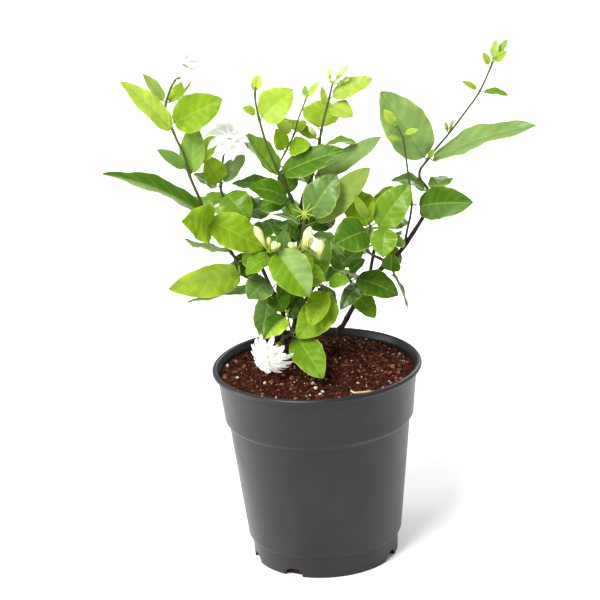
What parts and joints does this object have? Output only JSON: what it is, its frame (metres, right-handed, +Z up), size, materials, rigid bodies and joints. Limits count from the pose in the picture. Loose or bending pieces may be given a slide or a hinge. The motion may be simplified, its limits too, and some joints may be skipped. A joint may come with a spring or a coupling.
{
  "type": "potted jasmine",
  "caption": "Young jasmine with ovate waved leaves, double white blooms and cream buds on thin woody stems, in a filled, tapered round nursery pot with a rolled rim.",
  "frame": {"origin": "centre of the pot's underside, on the surface that it stands on", "axes": "+Z up along the pot's axis, -Y towards the plant's front, +X to the right seen from the front"},
  "size_m": [0.3015, 0.1593, 0.3823],
  "materials": {
    "pot": "satin dark grey moulded plastic",
    "soil": "moist crumbly dark brown peat and bark",
    "dry_stalk": "dry straw",
    "wood": "thin dark bark",
    "shoot": "satin green leaves and stalks",
    "bloom": "matt white petals",
    "bud": "matt cream"
  },
  "bodies": {
    "root": {"bloom_low_front": "bloom", "bloom_top_left": "bloom", "bloom_upper_left": "bloom", "bud_bud_left_1": "bud", "bud_bud_left_2": "bud", "bud_bud_left_3": "bud", "bud_bud_left_4": "bud", "bud_centre_front_1": "bud", "bud_centre_front_2": "bud", "bud_centre_front_3": "bud", "bud_centre_front_4": "bud", "bud_centre_right_1": "bud", "bud_centre_right_2": "bud", "bud_centre_right_3": "bud", "bud_centre_right_4": "bud", "bud_long_right_1": "bud", "bud_long_right_2": "bud", "dry_stalk": "dry_stalk", "pot": "pot", "shoot_back_left": "shoot", "shoot_back_low": "shoot", "shoot_back_middle": "shoot", "shoot_back_right": "shoot", "shoot_bud_left": "shoot", "shoot_centre_front": "shoot", "shoot_centre_left": "shoot", "shoot_centre_right": "shoot", "shoot_inner_left": "shoot", "shoot_long_right": "shoot", "shoot_low_front": "shoot", "shoot_low_left": "shoot", "shoot_low_middle": "shoot", "shoot_low_right": "shoot", "shoot_right_front": "shoot", "shoot_side_right": "shoot", "shoot_tall_left": "shoot", "shoot_thin_right": "shoot", "soil": "soil", "wood_left": "wood", "wood_main": "wood", "wood_right": "wood"}
  },
  "joints": []
}
